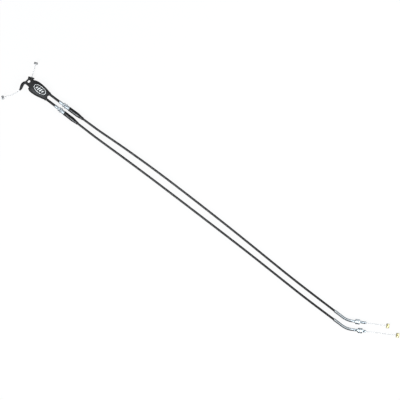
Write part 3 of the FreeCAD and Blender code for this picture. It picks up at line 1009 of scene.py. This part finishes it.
def make_screw(cable):
    """Adjuster screw: casing socket, neck, hexagon head and hollow thread."""
    line = LINES[cable].axis_line
    node = f"{cable}_adjuster_screw"
    low, high = box_mm(node)
    x0, x1 = low[0], high[0]
    neck = x0 + SCREW_NECK_AT
    head = x0 + SCREW_HEAD_AT
    socket = x0 + SCREW_SOCKET_DEPTH
    cup = rounded(
        [
            (x0, SCREW_SOCKET_R),
            (x0, SCREW_CUP_R),
            (neck - 0.6, SCREW_CUP_R),
            (neck, SCREW_NECK_R),
            (head + 0.4, SCREW_NECK_R),
            (head + 0.4, SCREW_BORE_R),
            (socket, SCREW_BORE_R),
            (socket, SCREW_SOCKET_R),
        ],
        0.22,
    )
    shank_start = head + SCREW_HEAD_LENGTH - 0.4
    shank = threaded_rings(line, shank_start, x1, THREAD_R, 28)
    bore = [ring_points(line, s, SCREW_BORE_R, 28) for s in (x1, shank_start)]
    meshes = [
        turned(line, cup, 36),
        hexagon_mesh(line, head, SCREW_HEAD_LENGTH, HEAD_ACROSS_FLATS, HEAD_BORE),
        skin(shank + bore, closed=True),
    ]
    screw = joined(f"{cable}_screw", meshes, "zinc_plate", smooth_angle=35)
    stand_in(screw, "guide_assembly", node)


def make_lock_nut(cable):
    """Hexagon nut on the adjuster screw's thread."""
    node = f"{cable}_lock_nut"
    low, high = box_mm(node)
    length = high[0] - low[0] - 2 * LOCK_NUT_GAP
    line = LINES[cable].axis_line
    mesh = hexagon_mesh(line, low[0] + LOCK_NUT_GAP, length, NUT_ACROSS_FLATS, NUT_BORE)
    nut = new_object(f"{cable}_locknut", mesh, "zinc_plate", smooth_angle=30)
    stand_in(nut, node, node)


def make_barrel(cable):
    """Adjuster barrel: a long round nut with a groove near its mouth and a cavity at its end."""
    node = f"{cable}_adjuster_barrel"
    low, high = box_mm(node)
    b0, b1 = low[0], high[0]
    groove = b0 + BARREL_GROOVE_AT
    cavity = (b1 - BARREL_CAVITY[0], b1 - BARREL_CAVITY[1])
    sleeve = rounded(
        [
            (b0, BARREL_MOUTH_R),
            (b0, BARREL_R),
            (groove - 0.35, BARREL_R),
            (groove - 0.2, BARREL_GROOVE_R),
            (groove + 0.2, BARREL_GROOVE_R),
            (groove + 0.35, BARREL_R),
            (b1, BARREL_R),
            (b1, BARREL_END_BORE_R),
            (cavity[1], BARREL_END_BORE_R),
            (cavity[1], BARREL_CAVITY_R),
            (cavity[0], BARREL_CAVITY_R),
            (cavity[0], BARREL_BORE_R),
            (b0 + 0.5, BARREL_BORE_R),
        ],
        0.2,
    )
    mesh = turned(LINES[cable].axis_line, sleeve, 40)
    barrel = new_object(f"{cable}_barrel", mesh, "zinc_plate", smooth_angle=40)
    stand_in(barrel, node, node)


def make_elbow(cable):
    """Bent plated tube with a rolled mouth, and a real thread along its far leg."""
    f = LINES[cable]
    line = f.tube
    start, end = line.start, line.end
    socket = start + TUBE_SOCKET_DEPTH
    thread = end - float(np.linalg.norm(f.tip - f.bend_end)) + 1.5
    count = 36
    # (station, radius) along the outside, from the casing's socket to the thread
    outer = [
        (start, 2.9),
        (start + 0.25, TUBE_R),
        (socket - 0.8, TUBE_R),
        (socket, TUBE_LEG_R),
    ]
    outer += [(s, TUBE_LEG_R) for s in stations(socket + 0.7, thread - 0.6, 1.4)]
    outer.append((thread, TUBE_R - 0.5))
    # the far mouth, the wire's passage back along the bend, and the casing's socket
    inner = [(end - 0.1, 2.3), (end, 2.0), (end - 0.2, TUBE_BORE_R)]
    inner += [(s, TUBE_BORE_R) for s in stations(end - 6.0, socket + 0.2, -3.0)]
    inner += [(socket + 0.1, TUBE_SOCKET_R), (start + 0.2, TUBE_SOCKET_R)]
    rings = [ring_points(line, s, r, count) for s, r in outer]
    rings += threaded_rings(line, thread, end - 0.5, THREAD_R, count)
    rings += [ring_points(line, s, r, count) for s, r in inner]
    mesh = skin(rings, closed=True)
    tube = new_object(f"{cable}_end_tube", mesh, "bright_plate", smooth_angle=40)
    stand_in(tube, f"{cable}_line", f"{cable}_elbow_tube")


def make_tube_nut(cable, which):
    """One of the two hexagon nuts on the end tube's thread."""
    f = LINES[cable]
    node = f"{cable}_{which}_nut"
    start = float(np.dot(middle_mm(node) - f.bend_end, f.leg)) - TUBE_NUT_LENGTH / 2
    mesh = hexagon_mesh(f.leg_line, start, TUBE_NUT_LENGTH, NUT_ACROSS_FLATS, NUT_BORE)
    nut = new_object(f"{cable}_{which}_tube_nut", mesh, "nut_plate", 30)
    stand_in(nut, node, node)


# ---------------------------------------------------------------- the whole object

make_cover()
make_guide()
for cable in CABLES:
    make_boot(cable)
    make_short_casing(cable)
    make_long_casing(cable)
    make_screw(cable)
    make_lock_nut(cable)
    make_barrel(cable)
    make_elbow(cable)
    make_tube_nut(cable, "inner")
    make_tube_nut(cable, "outer")
    make_throttle_wire(cable)
    make_carb_wire(cable)
    make_nipple(cable, "throttle", "zinc_alloy")
    make_nipple(cable, "carb", "brass")

# CAD nodes that stay as they are: liners, conduits, ferrules and the wire inside the casings
SLOTS = {p["node"]: p["material_slot"] for p in frame["record"]["subparts"]}
for node, obj in frame["nodes"].items():
    if not obj.hide_render:
        for slot in obj.material_slots:
            slot.material = MATERIALS[SLOTS[node]]

# ---------------------------------------------------------------- stage, light and camera

# lengths here are in metres, and directions are in the object's frame
VIEW_WIDTH = 0.9
VIEW_ROLL = 37.33
VIEW_CENTRE = (0.4681, 0.0099)
CAMERA_HEIGHT = 3.0
FLOOR_SEEN = (0.05, 0.05, 0.05)
# tones the floor shows only in reflections: a painted pale reflection and a painted dark reflection
FLOOR_PAINTED_PALE_REFLECTION = (0.32, 0.33, 0.34)
FLOOR_PAINTED_DARK_REFLECTION = (0.03, 0.032, 0.034)
FLOOR_GLOW = 0.92
FLOOR_HALF = 6.0
FLOOR_GAP = 0.0002
# the direction from which the floor is painted dark in reflections
PAINTED_DARK_REFLECTION_AXIS = (-0.25, 0.97, 0.0)
TENT_AXIS = (-0.1, 0.2, 1.0)
TENT_SPREAD = (0.68, 0.98)
TENT_DARK = 0.07
TENT_BRIGHT = 0.92
TENT_SEEN = 0.9
TENT_COLOUR = (0.97, 0.99, 1.0, 1.0)
LIGHT_COLOUR = (0.9, 0.95, 1.0)
SENSOR_WIDTH = 36.0
# name, place, size, power and target of each soft box
LIGHTS = (
    ("key", (0.15, -1.9, 2.6), (1.0, 2.3), 95.0, (0.15, 0.0, 0.0)),
    ("right", (2.75, 0.97, 1.6), (1.6, 1.6), 60.0, (1.0, 0.0, 0.0)),
    ("far", (0.55, 0.5, 0.55), (0.45, 0.45), 1.2, (0.8, 0.0, 0.0)),
)


def make_floor():
    """White paper to the camera, and a grey card to everything that mirrors it: painted dark when looked at from
    the +Y side and pale from the -Y side, a painted dark reflection on the -Y flank of shiny parts.
    """
    s = Shader("floor_paper")
    seen = s.add("ShaderNodeLightPath").outputs["Is Camera Ray"]
    side = s.add("ShaderNodeVectorMath", operation="DOT_PRODUCT")
    s.link(s.add("ShaderNodeNewGeometry").outputs["Incoming"], side.inputs[0])
    side.inputs[1].default_value = PAINTED_DARK_REFLECTION_AXIS
    # painted reflection: the floor is dark to rays that reach it from the +Y side and pale to the rest
    painted_dark_share = s.range(side.outputs["Value"], 0.0, 1.0, -0.5, 0.3)
    painted_reflection = s.mix(painted_dark_share, FLOOR_PAINTED_PALE_REFLECTION, FLOOR_PAINTED_DARK_REFLECTION)
    tone = s.mix(seen, painted_reflection, FLOOR_SEEN)
    glow = s.add("ShaderNodeMath", operation="MULTIPLY")
    s.link(seen, glow.inputs[0])
    glow.inputs[1].default_value = FLOOR_GLOW
    s.set(Base_Color=tone, Roughness=0.9, Normal=s.bump(s.noise(700, 2), 0.0001, 0.1))
    s.set(Emission_Color=(1.0, 1.0, 1.0, 1.0), Emission_Strength=glow.outputs["Value"])
    mesh = bpy.data.meshes.new("floor")
    z = cad_box[0].z - FLOOR_GAP
    west, east = VIEW_CENTRE[0] - FLOOR_HALF, VIEW_CENTRE[0] + FLOOR_HALF
    south, north = VIEW_CENTRE[1] - FLOOR_HALF, VIEW_CENTRE[1] + FLOOR_HALF
    corners = [(west, south, z), (east, south, z), (east, north, z), (west, north, z)]
    mesh.from_pydata(corners, [], [(0, 1, 2, 3)])
    mesh.materials.append(s.material)
    floor = bpy.data.objects.new("floor", mesh)
    bpy.context.collection.objects.link(floor)


def make_world():
    """A soft tent of light: bright overhead and on the +Y side, falling off to the horizon."""
    world = bpy.data.worlds.new("studio")
    bpy.context.scene.world = world
    world.use_nodes = True
    nodes, links = world.node_tree.nodes, world.node_tree.links
    background = nodes["Background"]
    background.inputs["Color"].default_value = TENT_COLOUR
    coords = nodes.new("ShaderNodeTexCoord")
    facing = nodes.new("ShaderNodeVectorMath")
    facing.operation = "DOT_PRODUCT"
    facing.inputs[1].default_value = Vector(TENT_AXIS).normalized()
    links.new(coords.outputs["Generated"], facing.inputs[0])
    falloff = nodes.new("ShaderNodeMapRange")
    falloff.interpolation_type = "SMOOTHSTEP"
    falloff.inputs["From Min"].default_value = TENT_SPREAD[0]
    falloff.inputs["From Max"].default_value = TENT_SPREAD[1]
    falloff.inputs["To Min"].default_value = TENT_DARK
    falloff.inputs["To Max"].default_value = TENT_BRIGHT
    links.new(facing.outputs["Value"], falloff.inputs["Value"])
    seen = nodes.new("ShaderNodeLightPath")
    strength = nodes.new("ShaderNodeMix")
    strength.inputs["B"].default_value = TENT_SEEN
    links.new(seen.outputs["Is Camera Ray"], strength.inputs["Factor"])
    links.new(falloff.outputs["Result"], strength.inputs["A"])
    links.new(strength.outputs["Result"], background.inputs["Strength"])


def area_light(name, place, size, energy, target):
    """A soft box aimed at the target; size is its length across the aim and its width."""
    data = bpy.data.lights.new(name, "AREA")
    data.shape = "RECTANGLE"
    data.size, data.size_y = size
    data.energy = energy
    data.color = LIGHT_COLOUR
    light = bpy.data.objects.new(name, data)
    bpy.context.collection.objects.link(light)
    light.location = place
    aim = Vector(target) - Vector(place)
    light.rotation_euler = aim.to_track_quat("-Z", "Y").to_euler()


def make_camera():
    """A long lens that looks straight down, so that VIEW_WIDTH fills the picture."""
    data = bpy.data.cameras.new("camera")
    data.sensor_width = SENSOR_WIDTH
    data.lens = SENSOR_WIDTH * CAMERA_HEIGHT / VIEW_WIDTH
    data.clip_end = 50.0
    camera = bpy.data.objects.new("camera", data)
    bpy.context.collection.objects.link(camera)
    camera.location = (VIEW_CENTRE[0], VIEW_CENTRE[1], CAMERA_HEIGHT)
    camera.rotation_euler = (0, 0, math.radians(VIEW_ROLL))
    bpy.context.scene.camera = camera


make_floor()
make_world()
for name, place, size, power, target in LIGHTS:
    area_light(name, place, size, power, target)
make_camera()
bpy.context.scene.view_settings.view_transform = "Standard"
